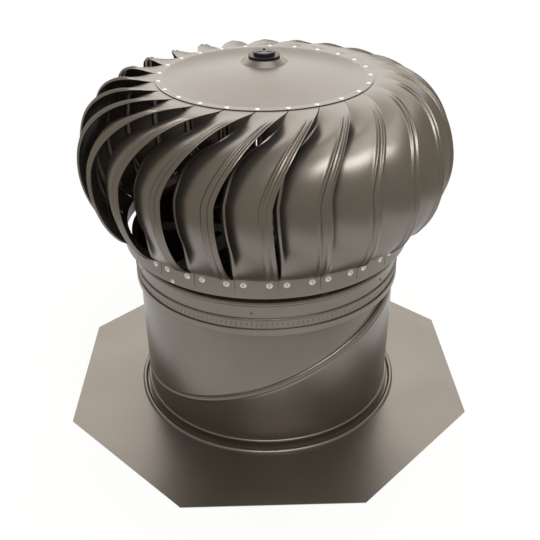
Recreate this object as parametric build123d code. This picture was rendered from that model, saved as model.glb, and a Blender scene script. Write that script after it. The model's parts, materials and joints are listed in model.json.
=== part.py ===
from build123d import *
import math
import os

# Roof turbine ventilator on a variable-pitch base, for a nominal 12 inch duct.
# Millimetres, +Z up. The origin is the centre of the flashing's underside, and the
# rotor's axis is the Z axis when the base is set for a flat roof.

# ---- driving sizes: base -------------------------------------------------------
flashing_half_width = 240.0     # octagon, centre to flat side
flashing_thickness = 0.8
duct_radius = 152.4             # inside of the base pipe
pipe_wall = 0.6
upstand_height = 16.0           # flashing neck round the pipe
upstand_wall = 0.8
foot_bead_radius = 3.2          # ridge pressed into the flashing round the neck
foot_bead_offset = 8.2          # ridge centre, outwards from the pipe's outside

# ---- driving sizes: swivel seam ------------------------------------------------
seam_tilt = 22.5                # seam plane against the duct's section, degrees
seam_height = 97.0              # seam centre above the flashing
seam_radius = 163.0             # outside of the outer sheet at the seam
seam_bead = 1.7                 # radius of each of the two seam beads
seam_inner_bead = 0.66          # the same beads on the nested sheet
seam_clearance = 0.3            # between the two nested sheets
seam_skirt = 5.6                # outer sheet, seam plane to its lower edge
seam_tongue = 4.8               # inner sheet, seam plane to its upper edge
seam_run_in = 8.0               # straight length of each sheet before it blends out

# ---- driving sizes: throat collar ----------------------------------------------
collar_bottom = 161.8
collar_under_tabs = 0.6         # collar's top below the vane tabs
collar_sheet = 0.8
collar_seat_radius = 154.6      # outside of the pipe's expanded top, inside of the collar
hem_height = 8.2
hem_depth = 1.7
hem_round = 0.8
crimp_band_height = 9.6
seat_bead_height = 4.6
seat_bead_radius = 1.6
flat_band_height = 14.4
throat_bead_radius = 3.4
screw_hole_radius = 1.6
screw_hole_drop = 8.2           # below the top of the flat band
screw_hole_count = 6
screw_hole_phase = -97.0
throat_radius = 153.4           # outside of the narrow neck above the bead
throat_step = 1.4
collar_lip_radius = 158.0       # flared top edge, inside the rotor ring
collar_lip_drop = 4.0
pipe_top_drop = 0.6             # head's pipe ends this far under the flat band's top
pipe_swell_rise = 6.2           # the pipe widens this far above the collar's edge
pipe_swell_height = 3.0

# ---- driving sizes: rotor ------------------------------------------------------
vane_count = 24
rotor_phase = 70.4              # direction of one crown rivet, degrees
vane_sheet = 0.6
crown_radius = 117.5
crown_sheet = 0.8
crown_level = 394.5             # top of the vanes' necks, underside of the crown rim
crown_rim_width = 8.5
crown_rise = 13.2               # rim to foot of the centre boss
boss_radius = 25.0
boss_top_radius = 18.5
boss_rise = 4.9
dome_fall = 0.34                # share of the rise near the rim, and of its flat top
dome_flat = 0.12
dome_reach = (0.28, 0.35)       # shares of the run where the dome bends
neck_inner_radius = 106.0       # inner end of the vanes under the crown
shoulder_radius = 149.0         # where the flat necks start to curve down
belly_radius = 208.3            # widest point of the vanes' outer edges
belly_height = 310.8
ring_radius = 166.3             # outside of the rotor ring
ring_sheet = 0.8
ring_height = 20.6
ring_flange_width = 5.0
tab_height = 16.4               # riveting tab under the fold
ring_top_drop = 1.6             # ring's top under the fold
tab_top = 237.0                 # fold between vane and tab
shoulder_reach = 30.0           # how far the shoulder runs out before it bends down
belly_rise = 36.0               # how far the widest part reaches up and down
belly_fall = 31.0
fold_reach = 25.0               # how far the sheet runs in towards the fold
fold_rise = 9.0
gap_depth = 17.0                # how far a vane's inner edge lies under its neighbour
rib_height = 1.6
rib_half_width = 0.055          # share of a vane's width
rib_places = (0.79, 0.925)
curl_height = 2.0               # rolled inner edge
curl_place = 0.05
curl_half_width = 0.075
skew_at_crown = 22.5            # slot direction at the crown against the ring, degrees
skew_dip = 2.1                  # the slot swings this far back at the belly
skew_run = 120.0                # length along the vane over which the slot swings
skew_curve = 1.5
skew_blend = 4.0                # half-length of the bend at the slot's tip
shoulder_swing = 2.0            # extra swing of the slot where the ribs begin
shoulder_swing_place = 36.0
shoulder_swing_half_length = 11.0
gap_opens_over = 70.0           # lengths over which the overlap opens and closes
gap_closes_over = 55.0
rib_start = 18.0                # ribs fade in over this stretch from the crown's edge
rib_fade = 22.0
rib_end_fade = 18.0
rib_end_flat = 4.0
gap_curve = 1.8                 # how the sheet bends in towards its inner edge
edge_margin = 0.22              # degrees left free at each side edge
vane_sections = 48
edge_match = 0.002              # middles of edges nearer than this are one edge
sheet_gap = 0.12                # between sheets that are riveted face to face

# ---- driving sizes: rivets -----------------------------------------------------
crown_rivet_circle = 113.7
crown_rivet_shank = 1.6
crown_rivet_head = 2.6
ring_rivet_drop = 6.0           # below the fold of the tabs
ring_rivet_shank = 2.0
ring_rivet_head = 3.4
ring_rivet_spread = 6.0         # degrees between the two rivets at a slot
rivet_head_rise = 1.3
rivet_tail_rise = 1.5
mandrel_hole = 0.8
mandrel_hole_depth = 0.9
rivet_tail_ratio = 1.35         # bulb of the tail against the shank

# ---- driving sizes: shaft, bearings and braces ---------------------------------
shaft_radius = 4.0
bearing_outer_radius = 11.0
bearing_width = 7.0
ball_radius = 1.98
ball_pitch_radius = 7.5
ball_count = 7
groove_clearance = 0.07
seat_clearance = 0.03
lower_bearing_drop = 2.4        # lower bearing under the spider's underside
brace_count = 3
brace_phase = -67.0
brace_width = 20.0
brace_thickness = 2.5
brace_over_band = 5.8           # underside of the brace arms above the flat band
brace_tab_length = 8.6
brace_rivet_rise = 4.5          # above the arms
arm_inner_radius = 8.5          # inner ends of the brace arms, clear of the nut
spider_phase = -127.2
spider_thickness = 2.0
spider_over_tabs = 5.2          # spider's underside above the vane tabs' lower edge
spider_tab_rise = 0.6           # spider tab above the ring's lower edge
spider_rivet_rise = 3.1         # above the ring's lower edge
hub_plate_radius = 24.0
hub_plate_thickness = 2.5
hub_bolt_circle = 18.0
hub_bolt_radius = 2.5
hub_bolt_flats = 8.0
hub_bolt_head = 3.5
nut_flats = 13.0
nut_height = 6.5
thread_overrun = 3.0            # spindle below its lower nut
bolt_overrun = 1.5              # hub bolt below its nut
shaft_end = 0.6                 # chamfers, and the shaft above the top circlip
housing_wall = 2.0
housing_flange_radius = 17.0
housing_flange_height = 2.8
upper_bearing_depth = 9.4       # below the boss top
retainer_radius = 17.5
retainer_thickness = 1.5
cap_radius = 11.6
cap_height = 3.6
cap_round = 1.2
cap_skirt_wall = 2.0
cap_slot_count = 3
cap_slot_circle = 6.0
cap_slot_width = 2.6
cap_slot_length = 7.6
cap_slot_phase = 90.0
cap_slot_depth = 1.8
race_lip_radius = 9.4           # opening in the housing floor below the outer race
lower_flange_radius = 24.0
lower_flange_thickness = 2.0
spider_hub_rivet_circle = 18.5
circlip_radius = 6.2
circlip_thickness = 1.0
circlip_gap = 2.4
spacer_radius = 6.2
race_width = 1.9                # radial thickness of each bearing race
cage_thickness = 0.8
cage_half_height = 2.6

pitch = 360 / vane_count
tab_bottom = tab_top - tab_height
ring_rivet_height = tab_top - ring_rivet_drop
ring_top = tab_top - ring_top_drop
ring_bottom = ring_top - ring_height
spider_level = tab_bottom + spider_over_tabs
spider_tab_bottom = ring_bottom + spider_tab_rise
spider_rivet_height = ring_bottom + spider_rivet_rise
lower_bearing_bottom = spider_level - lower_bearing_drop
collar_top = tab_bottom - collar_under_tabs
pipe_radius = duct_radius + pipe_wall
collar_outside = collar_seat_radius + collar_sheet
seam_inner_radius = seam_radius - pipe_wall - seam_clearance
bead_centre = pipe_radius + foot_bead_offset
flat_band_bottom = collar_bottom + hem_height + crimp_band_height + seat_bead_height
flat_band_top = flat_band_bottom + flat_band_height
pipe_top = flat_band_top - pipe_top_drop
pipe_swell_bottom = collar_bottom + pipe_swell_rise
pipe_swell_top = pipe_swell_bottom + pipe_swell_height
brace_level = flat_band_top + brace_over_band
brace_rivet_height = brace_level + brace_thickness + brace_rivet_rise
crown_top = crown_level + crown_sheet
boss_foot = crown_top + crown_rise
boss_top = boss_foot + boss_rise
upper_bearing_bottom = boss_top - upper_bearing_depth
tab_inside = ring_radius + sheet_gap
tab_outside = tab_inside + vane_sheet
throat_inside = throat_radius - collar_sheet
seam_plane = Plane(
    origin=(0, 0, seam_height),
    x_dir=(math.cos(math.radians(seam_tilt)), 0, math.sin(math.radians(seam_tilt))),
    z_dir=(-math.sin(math.radians(seam_tilt)), 0, math.cos(math.radians(seam_tilt))),
)


# ---- helpers -------------------------------------------------------------------
def save(name, shape):
    """Write one sub-part to its STEP file."""
    shape.label = name
    export_step(shape, f"parts/{name}.step")


def save_set(name, shapes):
    """Write several equal pieces to one STEP file, each as its own solid."""
    save(name, Compound(children=[piece.solid() for piece in shapes]))


def sheet_ring(thickness, side, *lines):
    """Turned sheet with one face on the given open (radius, height) line."""
    line = Wire([edge for part in lines for edge in part.edges()])
    wall = line.offset_2d(thickness, kind=Kind.INTERSECTION, side=side, closed=True)
    return revolve(Plane.XZ * make_face(wall), Axis.Z)


def domed_sheet(thickness, *lines):
    """Turned sheet below the given open (radius, height) line, equally thick upright."""
    top = Wire([edge for part in lines for edge in part.edges()])
    bottom = Pos(0, -thickness) * top
    ends = [Edge.make_line(top @ 0, bottom @ 0), Edge.make_line(top @ 1, bottom @ 1)]
    return revolve(Plane.XZ * make_face([*top.edges(), *bottom.edges(), *ends]), Axis.Z)


def tube(outer, inner, bottom, top):
    """Plain ring with a square section."""
    ring = Cylinder(outer, top - bottom) - Cylinder(inner, top - bottom)
    return Pos(0, 0, (bottom + top) / 2) * ring


def rod(radius, bottom, top):
    """Plain round bar along Z."""
    return Pos(0, 0, (bottom + top) / 2) * Cylinder(radius, top - bottom)


def hexagon(flats, bottom, top):
    """Hexagonal prism along Z."""
    outline = RegularPolygon(flats / 2, 6, major_radius=False)
    return Pos(0, 0, bottom) * extrude(outline, top - bottom)


def around(shape, count, phase=0.0):
    """Copies of a shape drawn at direction 0, turned evenly about Z."""
    return [Rot(0, 0, phase + 360 / count * place) * shape for place in range(count)]


def cut_all(shape, tools):
    """Take a list of tools away from a shape."""
    for tool in tools:
        shape -= tool
    return shape


def radial_rod(radius, inner, outer, height):
    """Round bar along X at a height, from one radius to another."""
    return Pos((inner + outer) / 2, 0, height) * Rot(0, 90, 0) * Cylinder(radius, outer - inner)


def rivet(shank, head, grip):
    """Blind rivet along Z: grip from 0 down to -grip, domed head above, bulb below."""
    dome_radius = (head**2 + rivet_head_rise**2) / (2 * rivet_head_rise)
    dome = Pos(0, 0, rivet_head_rise - dome_radius) * Sphere(dome_radius)
    head_disc = dome & rod(head, 0, rivet_head_rise)
    seat = -grip - seat_clearance
    tail = rod(shank * rivet_tail_ratio, seat - rivet_tail_rise, seat)
    body = head_disc + rod(shank - sheet_gap, seat, 0) + tail
    return body - rod(mandrel_hole, rivet_head_rise - mandrel_hole_depth, rivet_head_rise + 1)


# ---- base: flashing and fixed pipe ---------------------------------------------
def flashing():
    """Octagonal flashing with a pressed ridge and an upstand round the pipe."""
    corner_radius = flashing_half_width / math.cos(math.radians(22.5))
    sheet = extrude(
        RegularPolygon(corner_radius, 8, rotation=22.5), flashing_thickness)
    ridge_outside = bead_centre + foot_bead_radius
    ridge_inside = bead_centre - foot_bead_radius
    sheet -= rod(ridge_outside, -1, flashing_thickness + 1)
    level = flashing_thickness
    neck_outside = pipe_radius + sheet_gap + upstand_wall
    ridge = sheet_ring(
        flashing_thickness, Side.LEFT,
        Polyline((ridge_outside + 0.5, level), (ridge_outside, level)),
        ThreePointArc((ridge_outside, level), (bead_centre, level + foot_bead_radius),
                      (ridge_inside, level)),
        Polyline((ridge_inside, level), (neck_outside, level), (neck_outside, upstand_height)),
    )
    return sheet + ridge


def seam_bar(radius, bottom, top):
    """Round bar square to the seam plane; heights are counted from that plane."""
    return seam_plane * rod(radius, bottom, top)


def seam_blend(radius, level, seam_side_radius, seam_level):
    """Loft from a level circle to a circle parallel to the seam plane."""
    flat = (Pos(0, 0, level) * Circle(radius)).wire()
    tilted = (seam_plane * Pos(0, 0, seam_level) * Circle(seam_side_radius)).wire()
    return Solid.make_loft([flat, tilted], ruled=True)


def lower_tube():
    """Fixed pipe: round at the roof, blending into the tilted seam circle."""
    def filled(inset):
        radius = pipe_radius - inset
        seam_side = seam_inner_radius - inset
        body = rod(radius, 0, upstand_height + 2)
        body += seam_blend(radius, upstand_height + 2, seam_side, -seam_run_in)
        return body + seam_bar(seam_side, -seam_run_in, seam_tongue)
    body = filled(0)
    for level in (-seam_bead, seam_bead):
        body += seam_plane * Pos(0, 0, level) * Torus(seam_inner_radius, seam_inner_bead)
    return body - filled(pipe_wall)


# ---- head: swivelling pipe, collar and braces ------------------------------------
def upper_tube():
    """Swivelling pipe: beaded skirt over the seam, then a round top in the collar."""
    def filled(inset):
        radius = pipe_radius - inset
        seam_side = seam_radius - inset
        swell = collar_seat_radius - sheet_gap - inset
        body = seam_bar(seam_side, -seam_skirt, seam_run_in - 2)
        body += seam_blend(radius, pipe_swell_bottom - 1, seam_side, seam_run_in - 2)
        body += rod(radius, pipe_swell_bottom - 1, pipe_swell_bottom)
        body += Pos(0, 0, (pipe_swell_bottom + pipe_swell_top) / 2) * Cone(
            radius, swell, pipe_swell_top - pipe_swell_bottom)
        body += rod(swell, pipe_swell_top, pipe_top)
        for level in (-seam_bead, seam_bead):
            body += seam_plane * Pos(0, 0, level) * Torus(seam_radius, seam_bead - inset)
        return body
    return filled(0) - filled(pipe_wall)


def throat_collar():
    """Collar over the pipe: rolled hem, seat bead, flat band, round bead, flared lip."""
    bead_bottom = flat_band_top
    bead_top = bead_bottom + 2 * throat_bead_radius
    neck_bottom = bead_top + throat_step
    seat_bead_middle = flat_band_bottom - seat_bead_height / 2
    body = sheet_ring(
        collar_sheet, Side.LEFT,
        Polyline((collar_outside, collar_bottom), (collar_outside, bead_bottom)),
        ThreePointArc((collar_outside, bead_bottom),
                      (collar_outside + throat_bead_radius, bead_bottom + throat_bead_radius),
                      (collar_outside, bead_top)),
        Polyline((collar_outside, bead_top), (throat_radius, neck_bottom),
                 (throat_radius, collar_top - collar_lip_drop),
                 (collar_lip_radius, collar_top)),
    )
    hem = tube(collar_outside + hem_depth, collar_outside - 0.1,
               collar_bottom, collar_bottom + hem_height)
    hem = fillet(hem.edges().filter_by(GeomType.CIRCLE).sort_by(SortBy.RADIUS)[-2:], hem_round)
    body += hem
    body += Pos(0, 0, seat_bead_middle) * Torus(collar_outside, seat_bead_radius)
    holes = around(radial_rod(screw_hole_radius, collar_outside - 5, collar_outside + 5,
                              flat_band_top - screw_hole_drop),
                   screw_hole_count, screw_hole_phase)
    body = cut_all(body, holes)
    rivet_holes = around(radial_rod(ring_rivet_shank, throat_inside - 5, throat_radius + 5,
                                    brace_rivet_height), brace_count, brace_phase)
    body -= rod(collar_outside - collar_sheet, collar_bottom - 1, flat_band_top)
    return cut_all(body, rivet_holes)


def wall_bar(width, thickness, level, inner, wall, tab_low, tab_high):
    """Flat radial bar along X whose outer end is turned along a round wall."""
    bar = Pos((inner + wall) / 2, 0, level + thickness / 2) * Box(wall - inner, width, thickness)
    tab_middle = (tab_low + tab_high) / 2
    strip = Pos(wall / 2, 0, tab_middle) * Box(wall, width, tab_high - tab_low)
    tab = tube(wall, wall - thickness, tab_low, tab_high) & strip
    return (bar & rod(wall, level - 1, level + thickness + 1)) + tab


def brace_arms():
    """Three fixed arms from the hub plate to the throat wall."""
    wall = throat_inside - sheet_gap
    tab_top_level = brace_level + brace_thickness + brace_tab_length
    arm = wall_bar(brace_width, brace_thickness, brace_level, arm_inner_radius, wall,
                   brace_level, tab_top_level)
    arm -= radial_rod(ring_rivet_shank, wall - 10, wall + 5, brace_rivet_height)
    arm -= Pos(hub_bolt_circle, 0, 0) * rod(hub_bolt_radius, brace_level - 1, brace_level + 5)
    return around(arm, brace_count, brace_phase)


def brace_rivets():
    """Blind rivets that hold the arms' tabs to the throat wall."""
    grip = collar_sheet + sheet_gap + brace_thickness
    piece = Rot(0, 90, 0) * rivet(ring_rivet_shank, ring_rivet_head, grip)
    return around(Pos(throat_radius, 0, brace_rivet_height) * piece, brace_count, brace_phase)


def brace_hub():
    """Round plate on the inner ends of the arms, bored for the spindle."""
    bottom = brace_level + brace_thickness
    plate = tube(hub_plate_radius, shaft_radius + seat_clearance, bottom,
                 bottom + hub_plate_thickness)
    hole = Pos(hub_bolt_circle, 0, 0) * rod(hub_bolt_radius, bottom - 1, bottom + 5)
    return cut_all(plate, around(hole, brace_count, brace_phase))


def hub_bolts():
    """Hexagon bolts with nuts, one through each arm and the hub plate."""
    plate_top = brace_level + brace_thickness + hub_plate_thickness
    bolt = hexagon(hub_bolt_flats, plate_top, plate_top + hub_bolt_head)
    bolt += rod(hub_bolt_radius - seat_clearance, brace_level - hub_bolt_head - bolt_overrun, plate_top)
    bolt += hexagon(hub_bolt_flats, brace_level - hub_bolt_head, brace_level)
    return around(Pos(hub_bolt_circle, 0, 0) * bolt, brace_count, brace_phase)


def spindle():
    """Fixed shaft on which both bearings sit."""
    bottom = brace_level + brace_thickness - nut_height - thread_overrun
    top = upper_bearing_bottom + bearing_width + circlip_thickness + shaft_end
    shaft = rod(shaft_radius, bottom, top)
    return chamfer(shaft.edges().filter_by(GeomType.CIRCLE), shaft_end)


def spindle_nut(bottom):
    """Plain nut on the spindle."""
    nut = hexagon(nut_flats, bottom, bottom + nut_height)
    return nut - rod(shaft_radius + seat_clearance, bottom - 1, bottom + nut_height + 1)


def spindle_spacer():
    """Tube that carries the lower bearing on the upper nut."""
    bottom = brace_level + brace_thickness + hub_plate_thickness + nut_height
    return tube(spacer_radius, shaft_radius + seat_clearance, bottom, lower_bearing_bottom)


def circlip(bottom):
    """Open retaining ring on the spindle above a bearing."""
    ring = tube(circlip_radius, shaft_radius + seat_clearance, bottom, bottom + circlip_thickness)
    return ring - Pos(circlip_radius, 0, bottom) * Box(circlip_radius, circlip_gap, 4)


# ---- bearings ------------------------------------------------------------------
def ball_groove(bottom):
    """Ring of the size of the balls' path, used to cut both races."""
    middle = bottom + bearing_width / 2
    return Pos(0, 0, middle) * Torus(ball_pitch_radius, ball_radius + groove_clearance)


def inner_race(bottom):
    """Bearing ring on the spindle."""
    inner = shaft_radius + seat_clearance
    return tube(inner + race_width, inner, bottom, bottom + bearing_width) - ball_groove(bottom)


def outer_race(bottom):
    """Bearing ring in the housing."""
    ring = tube(bearing_outer_radius, bearing_outer_radius - race_width, bottom,
                bottom + bearing_width)
    return ring - ball_groove(bottom)


def balls(bottom):
    """Balls of one bearing."""
    ball = Pos(ball_pitch_radius, 0, bottom + bearing_width / 2) * Sphere(ball_radius)
    return around(ball, ball_count)


def cage(bottom):
    """Ring with a pocket for each ball."""
    middle = bottom + bearing_width / 2
    ring = tube(ball_pitch_radius + cage_thickness / 2, ball_pitch_radius - cage_thickness / 2,
                middle - cage_half_height, middle + cage_half_height)
    pocket = radial_rod(ball_radius + groove_clearance, ball_pitch_radius - 2,
                        ball_pitch_radius + 2, middle)
    return cut_all(ring, around(pocket, ball_count))


def bearing_housing(bearing_bottom, body_top, flange_radius, flange_bottom, flange_top):
    """Flanged cup round a bearing, with an open floor that carries the outer race."""
    outside = bearing_outer_radius + housing_wall
    cup = rod(outside, bearing_bottom - housing_wall, body_top)
    cup += rod(flange_radius, flange_bottom, flange_top)
    cup -= rod(bearing_outer_radius + seat_clearance, bearing_bottom, body_top + 10)
    return cup - rod(race_lip_radius, bearing_bottom - housing_wall - 1, bearing_bottom + 1)


# ---- rotor: crown, ring and spider -----------------------------------------------
def crown_disc():
    """Domed crown plate with a centre boss and a flat rim for the vane necks."""
    rim_inside = crown_radius - crown_rim_width
    dome_run = rim_inside - boss_radius
    disc = domed_sheet(
        crown_sheet,
        Polyline((crown_radius, crown_top), (rim_inside, crown_top)),
        Bezier((rim_inside, crown_top),
               (rim_inside - dome_run * dome_reach[0], crown_top + crown_rise * dome_fall),
               (boss_radius + dome_run * dome_reach[1], boss_foot - crown_rise * dome_flat),
               (boss_radius, boss_foot)),
        Polyline((boss_radius, boss_foot), (boss_top_radius, boss_top),
                 (bearing_outer_radius + housing_wall + seat_clearance, boss_top)),
    )
    hole = Pos(crown_rivet_circle, 0, 0) * rod(crown_rivet_shank, crown_level - 1, crown_top + 1)
    return cut_all(disc, around(hole, vane_count, rotor_phase))


def crown_rivets():
    """One rivet at the tip of each slot, through the crown and both necks."""
    grip = crown_sheet + sheet_gap + vane_sheet
    piece = rivet(crown_rivet_shank, crown_rivet_head, grip)
    return around(Pos(crown_rivet_circle, 0, crown_top) * piece, vane_count, rotor_phase)


def ring_rivet_directions():
    """Directions of the rivets on the rotor ring: two at each slot."""
    slot = rotor_phase - skew_at_crown
    for place in range(vane_count):
        for side in (-1, 1):
            yield slot + place * pitch + side * ring_rivet_spread / 2


def rotor_ring():
    """Lower ring with an inward top flange, drilled for the vane tabs and the spider."""
    ring = sheet_ring(
        ring_sheet, Side.LEFT,
        Polyline((ring_radius, ring_bottom), (ring_radius, ring_top),
                 (ring_radius - ring_flange_width, ring_top)),
    )
    hole = radial_rod(ring_rivet_shank, ring_radius - 4, ring_radius + 4, ring_rivet_height)
    ring = cut_all(ring, [Rot(0, 0, angle) * hole for angle in ring_rivet_directions()])
    spider_hole = radial_rod(crown_rivet_shank, ring_radius - 4, ring_radius + 4,
                             spider_rivet_height)
    return cut_all(ring, around(spider_hole, brace_count, spider_phase))


def ring_rivets():
    """Rivets through the vane tabs and the ring."""
    grip = tab_outside - ring_radius + ring_sheet
    piece = Pos(tab_outside, 0, ring_rivet_height) * Rot(0, 90, 0) * rivet(
        ring_rivet_shank, ring_rivet_head, grip)
    return [Rot(0, 0, angle) * piece for angle in ring_rivet_directions()]


def spider_arms():
    """Three arms from the ring to the lower bearing housing."""
    wall = ring_radius - ring_sheet - sheet_gap
    inner = bearing_outer_radius + housing_wall + sheet_gap
    arm = wall_bar(brace_width, spider_thickness, spider_level, inner, wall,
                   spider_tab_bottom, spider_level + spider_thickness)
    arm -= radial_rod(crown_rivet_shank, wall - 10, wall + 5, spider_rivet_height)
    arm -= Pos(spider_hub_rivet_circle, 0, 0) * rod(
        crown_rivet_shank, spider_level - 1, spider_level + 5)
    return around(arm, brace_count, spider_phase)


def spider_rivets():
    """Rivets that hold the spider's tabs inside the ring."""
    grip = ring_sheet + sheet_gap + spider_thickness
    piece = Rot(0, 90, 0) * rivet(crown_rivet_shank, crown_rivet_head, grip)
    return around(Pos(ring_radius, 0, spider_rivet_height) * piece, brace_count, spider_phase)


def spider_hub_rivets():
    """Rivets through the lower housing's flange and the spider arms."""
    flange_top = spider_level + spider_thickness + lower_flange_thickness
    piece = rivet(crown_rivet_shank, crown_rivet_head, spider_thickness + lower_flange_thickness)
    return around(Pos(spider_hub_rivet_circle, 0, flange_top) * piece, brace_count, spider_phase)


def lower_bearing_housing():
    """Housing on the spider, drilled for its rivets."""
    flange_bottom = spider_level + spider_thickness
    cup = bearing_housing(lower_bearing_bottom, lower_bearing_bottom + bearing_width + 1,
                          lower_flange_radius, flange_bottom,
                          flange_bottom + lower_flange_thickness)
    hole = Pos(spider_hub_rivet_circle, 0, 0) * rod(
        crown_rivet_shank, flange_bottom - 1, flange_bottom + 5)
    return cut_all(cup, around(hole, brace_count, spider_phase))


def upper_bearing_housing():
    """Black housing in the crown's boss, with its flange on top."""
    return bearing_housing(upper_bearing_bottom, boss_top, housing_flange_radius,
                           boss_top, boss_top + housing_flange_height)


def housing_retainer():
    """Ring under the boss that keeps the upper housing down."""
    top = boss_top - crown_sheet
    return tube(retainer_radius, bearing_outer_radius + housing_wall + seat_clearance,
                top - retainer_thickness, top)


def hub_cap():
    """Plug with three slots that closes the upper housing."""
    flange_top = boss_top + housing_flange_height
    bore = bearing_outer_radius + seat_clearance
    cap = rod(cap_radius, flange_top, flange_top + cap_height)
    cap = fillet(cap.edges().filter_by(GeomType.CIRCLE).sort_by(Axis.Z)[-1], cap_round)
    cap += tube(bore - sheet_gap, bore - cap_skirt_wall, upper_bearing_bottom + bearing_width + 0.1,
                flange_top)
    slot = Pos(cap_slot_circle, 0, flange_top + cap_height - cap_slot_depth) * extrude(
        SlotOverall(cap_slot_length, cap_slot_width), cap_slot_depth + 1)
    return cut_all(cap, around(slot, cap_slot_count, cap_slot_phase))


# ---- rotor: vanes --------------------------------------------------------------
def eased(share):
    """Smooth step from 0 to 1."""
    share = min(max(share, 0), 1)
    return share * share * (3 - 2 * share)


def hump(place, centre, half_length):
    """Smooth hump of height 1."""
    offset = (place - centre) / half_length
    return (1 + math.cos(math.pi * offset)) / 2 if abs(offset) < 1 else 0


def vane_outline():
    """Line of a vane's outer face in the (radius, height) plane, crown to ring."""
    level = crown_level - sheet_gap
    return Wire([
        Edge.make_line((neck_inner_radius, level), (shoulder_radius, level)),
        Edge.make_bezier((shoulder_radius, level), (shoulder_radius + shoulder_reach, level),
                         (belly_radius, belly_height + belly_rise), (belly_radius, belly_height)),
        Edge.make_bezier((belly_radius, belly_height), (belly_radius, belly_height - belly_fall),
                         (tab_outside + fold_reach, tab_top + fold_rise), (tab_outside, tab_top)),
    ])


def slot_direction(along, end):
    """Direction of a vane's free edge, against the slot's foot on the ring, in degrees."""
    run = max(along, 0)
    if abs(along) < skew_blend:
        run = (along + skew_blend)**2 / (4 * skew_blend)
    swing = (skew_at_crown + skew_dip) * max(1 - run / skew_run, 0)**skew_curve - skew_dip
    swing += shoulder_swing * hump(along, shoulder_swing_place, shoulder_swing_half_length)
    return swing + skew_dip * eased((along - skew_run) / (end - skew_run))


def vane_point(outline, along, share, depth):
    """Point of a vane: along is counted from the crown's edge, share runs across it."""
    edge_at = crown_radius - neck_inner_radius
    end = outline.length - edge_at
    place = min(max((along + edge_at) / outline.length, 0), 1)
    tangent = outline.tangent_at(place)
    middle = outline.position_at(place) + tangent * max(along - end, 0)
    fade = eased((along - rib_start) / rib_fade)
    fade *= eased((end - along - rib_end_flat) / rib_end_fade)
    relief = rib_height * sum(hump(share, rib, rib_half_width) for rib in rib_places)
    relief += curl_height * hump(share, curl_place, curl_half_width)
    opening = eased(along / gap_opens_over) * eased((end - along) / gap_closes_over)
    lift = fade * relief - gap_depth * opening * (1 - share)**gap_curve - depth
    radius = middle.X - tangent.Y * lift
    direction = math.radians(
        slot_direction(along, end) - edge_margin - (1 - share) * (pitch - 2 * edge_margin))
    return Vector(radius * math.cos(direction), radius * math.sin(direction),
                  middle.Y + tangent.X * lift)


def vane_section(outline, along, depth):
    """Curve across a vane: rolled edge, plain sheet and ribbed edge."""
    curl_end = curl_place + curl_half_width
    ribs_begin = rib_places[0] - rib_half_width
    strips = ((0, curl_end, 4), (curl_end, ribs_begin, 4), (ribs_begin, 1, 12))
    edges = []
    for first, last, steps in strips:
        places = [step / steps for step in range(steps + 1)]
        points = [vane_point(outline, along, first + (last - first) * place, depth)
                  for place in places]
        edges.append(Edge.make_spline(points, parameters=places))
    return Wire(edges)


def vane_skin(outline, depth):
    """Faces of one side of a vane, with the side of its tab below the fold."""
    foot = outline.tangent_at(1)
    mitre = depth * (1 + foot.Y) / -foot.X
    run = outline.length + mitre
    start = neck_inner_radius - crown_radius
    sections = [vane_section(outline, start + run * step / vane_sections, depth)
                for step in range(vane_sections + 1)]
    faces = list(Shell.make_loft(sections).faces())
    edges = [edge for face in faces for edge in face.edges()]
    fold_level = min(edge.position_at(0.5).Z for edge in edges)
    for fold in edges:
        if fold.position_at(0.5).Z - fold_level < edge_match:
            points = [fold.position_at(step / 6) for step in range(7)]
            foot = Edge.make_spline([Vector(point.X, point.Y, tab_bottom) for point in points])
            faces.append(Face.make_surface_from_curves(fold, foot))
    return faces


def rim_edges(faces):
    """Edges that belong to one face only, with their middle points."""
    edges = [(edge, edge.position_at(0.5)) for face in faces for edge in face.edges()]
    return [(edge, middle) for edge, middle in edges
            if sum((middle - other).length < edge_match for _, other in edges) == 1]


def vane():
    """Pressed vane with its riveting tab, placed with its slot's foot at direction 0."""
    outline = vane_outline()
    outer = vane_skin(outline, 0)
    inner = vane_skin(outline, vane_sheet)
    inner_rim = rim_edges(inner)
    sides = []
    for edge, middle in rim_edges(outer):
        partner = min(inner_rim, key=lambda item: (item[1] - middle).length)[0]
        sides.append(Face.make_surface_from_curves(edge, partner))
    body = Solid(Shell([*outer, *inner, *sides]))
    for angle in (-ring_rivet_spread / 2, ring_rivet_spread / 2 - pitch):
        body -= Rot(0, 0, angle) * radial_rod(
            ring_rivet_shank, tab_inside - 4, tab_outside + 4, ring_rivet_height)
    for angle in (skew_at_crown, skew_at_crown - pitch):
        body -= Rot(0, 0, angle) * Pos(crown_rivet_circle, 0, 0) * rod(
            crown_rivet_shank, crown_level - 3, crown_level + 1)
    return body


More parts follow.
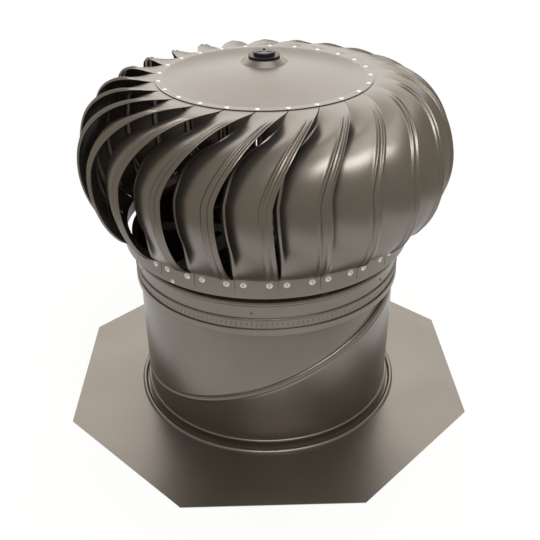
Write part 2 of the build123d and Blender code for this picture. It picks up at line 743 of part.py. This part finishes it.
# ---- write everything ------------------------------------------------------------
def main():
    """Build all sub-parts."""
    os.makedirs("parts", exist_ok=True)
    save("flashing_plate", flashing())
    save("lower_tube", lower_tube())
    save("upper_tube", upper_tube())
    save("throat_collar", throat_collar())
    save_set("brace_arms", brace_arms())
    save_set("brace_rivets", brace_rivets())
    save("brace_hub", brace_hub())
    save_set("hub_bolts", hub_bolts())
    save("spindle", spindle())
    plate_bottom = brace_level + brace_thickness
    save("spindle_lower_nut", spindle_nut(plate_bottom - nut_height))
    save("spindle_upper_nut", spindle_nut(plate_bottom + hub_plate_thickness))
    save("spindle_spacer", spindle_spacer())
    for place, bottom in (("lower", lower_bearing_bottom), ("upper", upper_bearing_bottom)):
        save(f"{place}_inner_race", inner_race(bottom))
        save(f"{place}_outer_race", outer_race(bottom))
        save_set(f"{place}_balls", balls(bottom))
        save(f"{place}_cage", cage(bottom))
        save(f"{place}_circlip", circlip(bottom + bearing_width))

    save("crown_disc", crown_disc())
    save_set("crown_rivets", crown_rivets())
    save("rotor_ring", rotor_ring())
    save_set("ring_rivets", ring_rivets())
    save_set("spider_arms", spider_arms())
    save_set("spider_rivets", spider_rivets())
    save_set("spider_hub_rivets", spider_hub_rivets())
    save("lower_bearing_housing", lower_bearing_housing())
    save("upper_bearing_housing", upper_bearing_housing())
    save("housing_retainer", housing_retainer())
    save("hub_cap", hub_cap())
    one_vane = vane()
    for place in range(vane_count):
        turn = rotor_phase - skew_at_crown - place * pitch
        save(f"vane_{place + 1:02d}", Rot(0, 0, turn) * one_vane)


if __name__ == "__main__":
    main()
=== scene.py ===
import json
import math

import bpy
import numpy as np
from mathutils import Matrix, Vector


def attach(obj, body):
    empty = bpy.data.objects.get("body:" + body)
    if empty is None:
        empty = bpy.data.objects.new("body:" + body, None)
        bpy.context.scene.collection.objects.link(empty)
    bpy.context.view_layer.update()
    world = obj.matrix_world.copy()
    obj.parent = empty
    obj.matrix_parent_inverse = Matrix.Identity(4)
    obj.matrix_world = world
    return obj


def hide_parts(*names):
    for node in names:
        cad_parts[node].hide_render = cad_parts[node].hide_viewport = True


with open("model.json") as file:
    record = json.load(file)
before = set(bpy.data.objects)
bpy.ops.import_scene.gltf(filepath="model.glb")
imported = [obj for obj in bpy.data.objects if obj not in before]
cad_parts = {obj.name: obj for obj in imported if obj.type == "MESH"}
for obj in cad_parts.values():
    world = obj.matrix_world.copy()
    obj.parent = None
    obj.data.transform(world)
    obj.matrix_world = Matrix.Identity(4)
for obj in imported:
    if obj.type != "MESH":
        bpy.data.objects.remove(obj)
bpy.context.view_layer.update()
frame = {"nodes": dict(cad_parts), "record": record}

# Roof turbine ventilator. Metres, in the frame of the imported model. The vanes are
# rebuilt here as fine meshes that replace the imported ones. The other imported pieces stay
# and get a procedural finish, and small trim is added: the collar's crimp dots, a bead
# over the swivel seam, a bead round the flashing's upstand and the rivets' stems.

MM = 0.001

# ---- vane sizes, in millimetres and degrees ----------------------------------------
vane_count = 24
rotor_phase = 70.4              # direction of one slot between vanes at the crown
vane_sheet = 0.6
sheet_gap = 0.12                # air between two sheets that lie on each other
crown_radius = 117.5
crown_level = 394.5             # underside of the crown's rim
crown_sheet = 0.8
neck_inner_radius = 106.0       # inner end of a vane, under the crown
shoulder_radius = 133.0         # where the flat neck starts to curve down
shoulder_reach = 52.0           # pulls of the curves at the shoulder, belly and fold
belly_rise = 38.0
belly_fall = 31.0
fold_reach = 25.0
fold_rise = 9.0
belly_radius = 206.6            # widest point of the outer edge
belly_height = 310.8
ring_radius = 166.3             # outside of the rotor ring that carries the tabs
tab_bottom = 220.6
tab_top = 237.0

# Along a vane from the crown's edge, the slot's direction falls from the crown's
# value to a small dip past the ring's and comes back to it.
skew_at_crown = 22.5
skew_dip = 2.1
skew_run = 120.0
skew_curve = 1.5
skew_blend = 4.0
edge_margin = 0.22              # half of the slot between two vanes
tab_margin = 0.09               # half of the slot between two tabs

gap_depth = 19.0                # how deep the rolled edge dips under the next vane
gap_curve = 1.8                 # how soon the dip fades across the vane
gap_opens_over = 46.0
gap_closes_over = 55.0
tuck = 4.2                      # how far the dipped edge reaches under the next vane
tuck_place = 60.0
tuck_half_length = 58.0

# Places and half widths of ribs and rolled edge are shares of a vane's width.
rib_height = 1.6
rib_half_width = 0.055
rib_places = (0.79, 0.925)
rib_start = 18.0
rib_fade = 22.0
rib_end_fade = 18.0
rib_end_flat = 4.0
curl_height = 2.0
curl_place = 0.05
curl_half_width = 0.075

# Steps of the meshes.
neck_steps, upper_steps, lower_steps = 200, 500, 400
along_steps = 110
curl_steps, plain_steps, rib_steps = 14, 18, 36
tab_rows = 5
crease_angle = 50

# ---- trim sizes, in millimetres and degrees ------------------------------------------
collar_outside = 155.4
crimp_band_bottom = 170.4
crimp_band_top = 179.8
dot_spacing = 5.5
dot_radius = 1.5
dot_rise = 0.55
dot_sink = 0.03                 # edge of a dot below the collar's face
dot_stretch = 1.6               # a dot is this much taller than wide
dot_rings, dot_segments = 4, 10

seam_tilt = 22.5
seam_height = 97.0
seam_radius = 163.0
seam_bead_half_width = 3.6
seam_bead_rise = 2.7
foot_bead_circle = 154.2
foot_bead_level = 11.5
foot_bead_radius = 1.9
bead_steps_around, bead_steps_across = 240, 16

crown_rivet_circle = 113.7
ring_rivet_height = 231.0
ring_rivet_spread = 6.0         # angle between the two rivets at a slot
rivet_head_rise = 1.3
stem_radius = 0.78
stem_drop = 0.35                # broken stem below the top of a rivet's head
stem_dome = 0.3                 # rise of a stem's middle as a share of its radius
stem_segments = 12

# ---- studio: sizes in metres -------------------------------------------------------
floor_radius = 0.62
floor_drop = 0.0006
floor_steps = 96
floor_grey = 0.86
floor_glow = 1.06
floor_glow_share = 0.80
duct_shade_radius = 0.165       # floor under the pipe, where nothing lights it
room_light = (0.50, 0.465, 0.40)
room_seen = (1, 1, 1)
lamp_target = (0, 0, 0.25)

# Camera, fitted to the photograph's view.
camera_position = Vector((-14.53, -823.36, 641.55)) * MM
camera_elevation = math.radians(30.84)
camera_azimuth = math.radians(-1.3)
camera_roll = math.radians(-0.51)
camera_lens = 51.74
camera_sensor = 36
camera_near = 0.02

# ---- worked out ----------------------------------------------------------------------
pitch = 360 / vane_count
slot_at_ring = rotor_phase - skew_at_crown
crown_top = crown_level + crown_sheet
tab_inside = ring_radius + sheet_gap
tab_outside = tab_inside + vane_sheet


# ---- vane shape ------------------------------------------------------------------
def eased(share):
    """Smooth step from 0 to 1."""
    share = np.clip(share, 0, 1)
    return share * share * (3 - 2 * share)


def hump(place, centre, half_length):
    """Smooth hump of height 1."""
    offset = (place - centre) / half_length
    return np.where(np.abs(offset) < 1, (1 + np.cos(np.pi * offset)) / 2, 0)


def bezier(points, steps):
    """Points along one cubic Bezier curve."""
    t = np.linspace(0, 1, steps)[:, None]
    a, b, c, d = (np.array(point, float) for point in points)
    return a * (1 - t)**3 + 3 * b * t * (1 - t)**2 + 3 * c * t * t * (1 - t) + d * t**3


def vane_line():
    """Fine (radius, height) line of a vane's outer face from crown to fold."""
    level = crown_level - sheet_gap
    shoulder, belly, fold = (
        (shoulder_radius, level), (belly_radius, belly_height), (tab_outside, tab_top))
    neck = np.linspace((neck_inner_radius, level), shoulder, neck_steps)
    upper = bezier((shoulder, (shoulder_radius + shoulder_reach, level),
                    (belly_radius, belly_height + belly_rise), belly), upper_steps)
    lower = bezier((belly, (belly_radius, belly_height - belly_fall),
                    (tab_outside + fold_reach, tab_top + fold_rise), fold), lower_steps)
    return np.vstack((neck, upper[1:], lower[1:]))


def resampled(line, steps):
    """Evenly spaced points and directions, with lengths from the crown's edge."""
    lengths = np.concatenate(([0], np.cumsum(np.hypot(*np.diff(line, axis=0).T))))
    along = np.linspace(0, lengths[-1], steps)
    points = np.stack([np.interp(along, lengths, line[:, axis]) for axis in (0, 1)], 1)
    directions = np.gradient(points, axis=0)
    directions /= np.linalg.norm(directions, axis=1)[:, None]
    return points, directions, along - (crown_radius - neck_inner_radius)


def slot_direction(along, end):
    """Direction of a vane's free edge against the slot's foot on the ring, degrees."""
    run = np.maximum(along, 0)
    near = np.abs(along) < skew_blend
    run = np.where(near, (along + skew_blend)**2 / (4 * skew_blend), run)
    left = np.maximum(1 - run / skew_run, 0)**skew_curve
    swing = (skew_at_crown + skew_dip) * left - skew_dip
    return swing + skew_dip * eased((along - skew_run) / (end - skew_run))


def across_shares():
    """Places across a vane, closer together over the rolled edge and the ribs."""
    curl_end = curl_place + curl_half_width
    ribs_begin = rib_places[0] - rib_half_width
    return np.concatenate((
        np.linspace(0, curl_end, curl_steps)[:-1],
        np.linspace(curl_end, ribs_begin, plain_steps)[:-1],
        np.linspace(ribs_begin, 1, rib_steps)))


def with_tab(rows, tab_row):
    """Column of values along a vane, carried on by one value over its tab."""
    return np.concatenate((rows, np.full(tab_rows, tab_row)))[:, None]


def vane_grid(depth):
    """Points of a vane's face at a depth in its sheet, in rows across the vane."""
    points, directions, along = resampled(vane_line(), along_steps)
    end = along[-1]
    shares = across_shares()[None, :]
    s = along[:, None]
    fade = eased((s - rib_start) / rib_fade) * eased((end - s - rib_end_flat) / rib_end_fade)
    relief = sum(rib_height * hump(shares, rib, rib_half_width) for rib in rib_places)
    relief = relief + curl_height * hump(shares, curl_place, curl_half_width)
    opening = eased(s / gap_opens_over) * eased((end - s) / gap_closes_over)
    dipped = (1 - shares)**gap_curve
    lift = fade * relief - gap_depth * opening * dipped - depth
    radius = points[:, :1] - directions[:, 1:] * lift
    height = points[:, 1:] + directions[:, :1] * lift

    tab_height = np.linspace(tab_top, tab_bottom, tab_rows + 1)[1:, None] + 0 * shares
    radius = np.vstack((radius, np.full(tab_height.shape, tab_outside - depth)))
    height = np.vstack((height, tab_height))

    swing = with_tab(slot_direction(along, end), 0)
    tucked = with_tab(hump(along, tuck_place, tuck_half_length), 0)
    margin = with_tab(np.full(along_steps, edge_margin), tab_margin)
    width = pitch - 2 * margin + tuck * tucked * dipped
    direction = np.radians(swing - margin - (1 - shares) * width)
    return np.stack((radius * np.cos(direction), radius * np.sin(direction), height), -1) * MM


def sheet_mesh(name, outer, inner):
    """Closed thin mesh between two grids of points."""
    rows, columns = outer.shape[:2]
    count = rows * columns
    index = np.arange(count).reshape(rows, columns)
    quads = np.stack((index[:-1, :-1], index[1:, :-1], index[1:, 1:], index[:-1, 1:]), -1)
    top = quads.reshape(-1, 4)
    bottom = top[:, ::-1] + count
    rim = np.concatenate((index[0, :], index[1:, -1], index[-1, -2::-1], index[-2:0:-1, 0]))
    following = np.roll(rim, -1)
    sides = np.stack((rim, following, following + count, rim + count), -1)
    mesh = bpy.data.meshes.new(name)
    points = np.concatenate((outer.reshape(-1, 3), inner.reshape(-1, 3)))
    mesh.from_pydata(points.tolist(), [], np.concatenate((top, bottom, sides)).tolist())
    mesh.validate()
    mesh.shade_smooth()
    return mesh


def new_object(name, mesh, material, body):
    """Object for a new piece, riding on a body."""
    piece = bpy.data.objects.new(name, mesh)
    bpy.context.scene.collection.objects.link(piece)
    mesh.materials.append(material)
    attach(piece, body)
    return piece


def add_vanes(material):
    """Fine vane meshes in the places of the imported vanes."""
    mesh = sheet_mesh("vane_skin", vane_grid(0), vane_grid(vane_sheet))
    for place in range(vane_count):
        turn = math.radians(slot_at_ring - place * pitch)
        copy = mesh.copy()
        copy.transform(Matrix.Rotation(turn, 4, "Z"))
        copy.set_sharp_from_angle(angle=math.radians(crease_angle))
        name = f"vane_{place + 1:02d}"
        piece = new_object(f"{name}_skin", copy, material, "rotor")
        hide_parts(name)


# ---- materials -------------------------------------------------------------------
def new_material(name):
    """Material with its nodes, its links and its principled shader."""
    material = bpy.data.materials.new(name)
    material.use_nodes = True
    nodes = material.node_tree.nodes
    shader = nodes["Principled BSDF"]
    return material, nodes, material.node_tree.links, shader


def noise(nodes, links, scale, detail=3.0):
    """Noise in object space, with the scale in waves per metre."""
    place = nodes.new("ShaderNodeTexCoord")
    texture = nodes.new("ShaderNodeTexNoise")
    texture.inputs["Scale"].default_value = scale
    texture.inputs["Detail"].default_value = detail
    links.new(place.outputs["Object"], texture.inputs["Vector"])
    return texture.outputs["Fac"]


def spread(nodes, links, source, low, high):
    """Map a noise value, most of which lies within 0.3 to 0.7, onto a range."""
    span = nodes.new("ShaderNodeMapRange")
    span.inputs["From Min"].default_value = 0.3
    span.inputs["From Max"].default_value = 0.7
    span.inputs["To Min"].default_value = low
    span.inputs["To Max"].default_value = high
    links.new(source, span.inputs["Value"])
    return span.outputs["Result"]


def blend_colour(nodes, links, source, first, second):
    """Mix two colours by a value."""
    mix = nodes.new("ShaderNodeMix")
    mix.data_type = "RGBA"
    mix.inputs[6].default_value = (*first, 1)
    mix.inputs[7].default_value = (*second, 1)
    links.new(source, mix.inputs["Factor"])
    return mix.outputs[2]


def combined(nodes, links, operation, first, second):
    """Result of one math step between a value and a second value or a number."""
    step = nodes.new("ShaderNodeMath")
    step.operation = operation
    links.new(first, step.inputs[0])
    if isinstance(second, float):
        step.inputs[1].default_value = second
    else:
        links.new(second, step.inputs[1])
    return step.outputs[0]


def add_bump(nodes, links, shader, source, depth):
    """Fine relief from a value, with its depth in metres."""
    bump = nodes.new("ShaderNodeBump")
    bump.inputs["Strength"].default_value = 1.0
    bump.inputs["Distance"].default_value = depth
    links.new(source, bump.inputs["Height"])
    links.new(bump.outputs["Normal"], shader.inputs["Normal"])


def metal_paint(name, dark, light, roughness, roughness_drift):
    """Satin metallic coating: slow colour drift, fine flake and slight sheet ripple."""
    material, nodes, links, shader = new_material(name)
    drift = spread(nodes, links, noise(nodes, links, 9.0), 0, 1)
    links.new(blend_colour(nodes, links, drift, dark, light), shader.inputs["Base Color"])
    grain = spread(nodes, links, noise(nodes, links, 500.0, 2.0),
                   roughness - roughness_drift, roughness + roughness_drift)
    links.new(grain, shader.inputs["Roughness"])
    shader.inputs["Metallic"].default_value = 0.88
    add_bump(nodes, links, shader, noise(nodes, links, 28.0, 1.0), 0.06 * MM)
    return material


def bright_rivet():
    """Bright aluminium with faint scuffs."""
    material, nodes, links, shader = new_material("rivet_aluminium")
    scuff = spread(nodes, links, noise(nodes, links, 700.0, 4.0), 0, 1)
    links.new(blend_colour(nodes, links, scuff, (0.88, 0.88, 0.86), (0.96, 0.96, 0.95)),
              shader.inputs["Base Color"])
    links.new(spread(nodes, links, noise(nodes, links, 1500.0), 0.28, 0.42),
              shader.inputs["Roughness"])
    shader.inputs["Metallic"].default_value = 0.25
    add_bump(nodes, links, shader, noise(nodes, links, 1800.0), 0.03 * MM)
    return material


def black_plastic(name, roughness):
    """Moulded black plastic with a fine spark-eroded grain."""
    material, nodes, links, shader = new_material(name)
    tone = spread(nodes, links, noise(nodes, links, 240.0), 0, 1)
    links.new(blend_colour(nodes, links, tone, (0.008, 0.008, 0.009), (0.016, 0.016, 0.017)),
              shader.inputs["Base Color"])
    shader.inputs["Specular IOR Level"].default_value = 0.3
    grain = noise(nodes, links, 2600.0, 2.0)
    links.new(spread(nodes, links, grain, roughness, roughness + 0.1),
              shader.inputs["Roughness"])
    add_bump(nodes, links, shader, grain, 0.02 * MM)
    return material


def zinc(name, light, roughness, patch_scale):
    """Galvanised or zinc-plated steel with soft crystal patches."""
    material, nodes, links, shader = new_material(name)
    place = nodes.new("ShaderNodeTexCoord")
    patches = nodes.new("ShaderNodeTexVoronoi")
    patches.inputs["Scale"].default_value = patch_scale
    links.new(place.outputs["Object"], patches.inputs["Vector"])
    tone = nodes.new("ShaderNodeSeparateColor")
    links.new(patches.outputs["Color"], tone.inputs["Color"])
    dark = tuple(value * 0.78 for value in light)
    links.new(blend_colour(nodes, links, tone.outputs["Red"], dark, light),
              shader.inputs["Base Color"])
    links.new(spread(nodes, links, tone.outputs["Green"], roughness, roughness + 0.12),
              shader.inputs["Roughness"])
    shader.inputs["Metallic"].default_value = 1.0
    add_bump(nodes, links, shader, noise(nodes, links, 1200.0), 0.01 * MM)
    return material


def dress_nodes():
    """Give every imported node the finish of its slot, and return all finishes."""
    finishes = {
        "bronze_paint": metal_paint("bronze_paint", (0.198, 0.178, 0.156),
                                    (0.232, 0.210, 0.186), 0.33, 0.012),
        "rivet_aluminium": bright_rivet(),
        "hub_plastic": black_plastic("hub_plastic", 0.30),
        "cap_plastic": black_plastic("cap_plastic", 0.26),
        "plated_steel": zinc("plated_steel", (0.30, 0.29, 0.27), 0.42, 260.0),
        "bearing_steel": zinc("bearing_steel", (0.70, 0.70, 0.71), 0.16, 900.0),
        "galvanised_steel": zinc("galvanised_steel", (0.52, 0.53, 0.54), 0.38, 130.0),
    }
    for part in frame["record"]["subparts"]:
        node = frame["nodes"][part["node"]]
        node.data.materials.clear()
        node.data.materials.append(finishes[part["material_slot"]])
    return finishes


# ---- trim --------------------------------------------------------------------------
def on_cylinder(radius, direction, height):
    """Point in metres from cylindrical coordinates in millimetres and radians."""
    return (radius * math.cos(direction) * MM, radius * math.sin(direction) * MM, height * MM)


def trim_piece(name, points, faces, material, body):
    """Smooth mesh piece that rides on a body."""
    mesh = bpy.data.meshes.new(name)
    mesh.from_pydata(points, [], faces)
    mesh.shade_smooth()
    new_object(name, mesh, material, body)


def crimp_dot(turn, points, faces):
    """Domed dot on the collar at a direction, as rings round its middle."""
    middle = (crimp_band_bottom + crimp_band_top) / 2
    first = len(points)
    points.append(on_cylinder(collar_outside + dot_rise, turn, middle))
    for ring in range(1, dot_rings + 1):
        share = ring / dot_rings
        radius = collar_outside + dot_rise * math.cos(share * math.pi / 2) - dot_sink
        for step in range(dot_segments):
            angle = 2 * math.pi * step / dot_segments
            side = dot_radius * share * math.cos(angle) / collar_outside
            height = middle + dot_stretch * dot_radius * share * math.sin(angle)
            points.append(on_cylinder(radius, turn + side, height))
    for step in range(dot_segments):
        after = (step + 1) % dot_segments
        faces.append((first, first + 1 + step, first + 1 + after))
        for ring in range(1, dot_rings):
            inner = first + 1 + (ring - 1) * dot_segments
            outer = inner + dot_segments
            faces.append((inner + step, outer + step, outer + after, inner + after))


def add_crimp_dots(material):
    """Row of small pressed dots round the collar's crimped band."""
    points, faces = [], []
    count = round(2 * math.pi * collar_outside / dot_spacing)
    for place in range(count):
        crimp_dot(2 * math.pi * place / count, points, faces)
    trim_piece("crimp_dots", points, faces, material, "head")


def add_bead(name, material, body, circle, half_width, rise, turn):
    """Smooth round bead on a circle about Z, then placed by a matrix."""
    points, faces = [], []
    for step in range(bead_steps_around):
        direction = 2 * math.pi * step / bead_steps_around
        here = step * bead_steps_across
        after = (step + 1) % bead_steps_around * bead_steps_across
        for side in range(bead_steps_across):
            angle = 2 * math.pi * side / bead_steps_across
            point = on_cylinder(circle + rise * math.cos(angle), direction,
                                half_width * math.sin(angle))
            points.append(turn @ Vector(point))
            beside = (side + 1) % bead_steps_across
            faces.append((here + side, after + side, after + beside, here + beside))
    trim_piece(name, points, faces, material, body)


def add_beads(material):
    """Bead over the swivel seam and bead round the flashing's upstand."""
    lift = Matrix.Translation((0, 0, seam_height * MM))
    tilt = Matrix.Rotation(-math.radians(seam_tilt), 4, "Y")
    add_bead("seam_bead", material, "head", seam_radius, seam_bead_half_width,
             seam_bead_rise, lift @ tilt)
    add_bead("foot_bead", material, "base", foot_bead_circle, foot_bead_radius,
             foot_bead_radius, Matrix.Translation((0, 0, foot_bead_level * MM)))


def stem_disc(turn, points, faces):
    """Small domed disc, facing +Z at the origin, placed by a matrix."""
    first = len(points)
    points.append(turn @ Vector((0, 0, stem_radius * stem_dome * MM)))
    for step in range(stem_segments):
        angle = 2 * math.pi * step / stem_segments
        points.append(turn @ Vector(on_cylinder(stem_radius, angle, 0)))
        faces.append((first, first + 1 + step, first + 1 + (step + 1) % stem_segments))


def add_rivet_stems(material):
    """Broken steel stems in the middles of the blind rivets on the rotor."""
    points, faces = [], []
    above_face = rivet_head_rise - stem_drop
    facing_out = Matrix.Rotation(math.pi / 2, 4, "Y")
    on_ring = Matrix.Translation(
        ((tab_outside + above_face) * MM, 0, ring_rivet_height * MM)) @ facing_out
    on_crown = Matrix.Translation((crown_rivet_circle * MM, 0, (crown_top + above_face) * MM))
    for place in range(vane_count):
        for side in (-1, 1):
            direction = math.radians(slot_at_ring + place * pitch + side * ring_rivet_spread / 2)
            stem_disc(Matrix.Rotation(direction, 4, "Z") @ on_ring, points, faces)
        direction = math.radians(rotor_phase + place * pitch)
        stem_disc(Matrix.Rotation(direction, 4, "Z") @ on_crown, points, faces)
    trim_piece("rivet_stems", points, faces, material, "rotor")


# ---- studio ------------------------------------------------------------------------
def floor_paper():
    """Pale paper that keeps shadows, reads as white and is dark under the pipe."""
    material, nodes, links, shader = new_material("floor_paper")
    shader.inputs["Base Color"].default_value = (floor_grey, floor_grey, floor_grey, 1)
    shader.inputs["Roughness"].default_value = 0.9
    shader.inputs["Specular IOR Level"].default_value = 0.1
    glow = nodes.new("ShaderNodeEmission")
    glow.inputs["Color"].default_value = (1, 1, 1, 1)
    glow.inputs["Strength"].default_value = floor_glow
    path = nodes.new("ShaderNodeLightPath")
    place = nodes.new("ShaderNodeNewGeometry")
    from_middle = nodes.new("ShaderNodeVectorMath")
    from_middle.operation = "LENGTH"
    links.new(place.outputs["Position"], from_middle.inputs[0])

    seen = combined(nodes, links, "MAXIMUM",
                    path.outputs["Is Camera Ray"], path.outputs["Is Glossy Ray"])
    clear = combined(nodes, links, "GREATER_THAN",
                     from_middle.outputs["Value"], duct_shade_radius)
    white = combined(nodes, links, "MULTIPLY", seen, clear)
    share = combined(nodes, links, "MULTIPLY", white, floor_glow_share)
    mix = nodes.new("ShaderNodeMixShader")
    links.new(share, mix.inputs["Fac"])
    links.new(shader.outputs["BSDF"], mix.inputs[1])
    links.new(glow.outputs["Emission"], mix.inputs[2])
    links.new(mix.outputs["Shader"], nodes["Material Output"].inputs["Surface"])
    return material


def add_floor():
    """Plain round table."""
    turns = [2 * math.pi * step / floor_steps for step in range(floor_steps)]
    rim = [(floor_radius * math.cos(turn), floor_radius * math.sin(turn), 0) for turn in turns]
    mesh = bpy.data.meshes.new("floor")
    mesh.from_pydata(rim, [], [tuple(range(floor_steps))])
    mesh.materials.append(floor_paper())
    floor = bpy.data.objects.new("floor", mesh)
    floor.location.z = -floor_drop
    bpy.context.scene.collection.objects.link(floor)


def add_world():
    """Plain studio surroundings: white to the camera, soft grey as a light."""
    world = bpy.data.worlds.new("studio")
    bpy.context.scene.world = world
    world.use_nodes = True
    nodes, links = world.node_tree.nodes, world.node_tree.links
    background = nodes["Background"]
    background.inputs["Strength"].default_value = 1.0
    path = nodes.new("ShaderNodeLightPath")
    colour = blend_colour(nodes, links, path.outputs["Is Camera Ray"], room_light, room_seen)
    links.new(colour, background.inputs["Color"])


def add_softbox(name, place, width, height, power):
    """Rectangular area lamp that faces the middle of the object."""
    lamp = bpy.data.lights.new(name, "AREA")
    lamp.shape = "RECTANGLE"
    lamp.size = width
    lamp.size_y = height
    lamp.energy = power
    light = bpy.data.objects.new(name, lamp)
    light.location = place
    ahead = Vector(lamp_target) - Vector(place)
    light.rotation_euler = ahead.to_track_quat("-Z", "Y").to_euler()
    bpy.context.scene.collection.objects.link(light)


def add_lights():
    """Soft lamps: a broad one behind, a small one above the camera, a weak one on top."""
    add_softbox("back", (0.0, 2.0, 1.75), width=3.4, height=2.2, power=36)
    add_softbox("above_camera", (0.18, -0.80, 1.75), width=1.1, height=0.42, power=11)
    add_softbox("overhead", (0.2, 0.1, 2.2), width=1.2, height=1.2, power=6)


def add_camera():
    """Camera at the photograph's viewpoint."""
    side = Vector((math.cos(camera_azimuth), math.sin(camera_azimuth), 0))
    level_back = Vector((math.sin(camera_azimuth), -math.cos(camera_azimuth), 0))
    back = level_back * math.cos(camera_elevation) + Vector((0, 0, math.sin(camera_elevation)))
    up = back.cross(side)
    right = side * math.cos(camera_roll) + up * math.sin(camera_roll)
    above = up * math.cos(camera_roll) - side * math.sin(camera_roll)
    data = bpy.data.cameras.new("camera")
    data.lens = camera_lens
    data.sensor_width = camera_sensor
    data.clip_start = camera_near
    camera = bpy.data.objects.new("camera", data)
    camera.matrix_world = Matrix((
        (right.x, above.x, back.x, camera_position.x),
        (right.y, above.y, back.y, camera_position.y),
        (right.z, above.z, back.z, camera_position.z),
        (0, 0, 0, 1)))
    bpy.context.scene.collection.objects.link(camera)
    bpy.context.scene.camera = camera


finishes = dress_nodes()
add_vanes(finishes["bronze_paint"])
add_crimp_dots(finishes["bronze_paint"])
add_beads(finishes["bronze_paint"])
add_rivet_stems(finishes["plated_steel"])
add_floor()
add_world()
add_lights()
add_camera()
bpy.context.scene.view_settings.view_transform = "Standard"
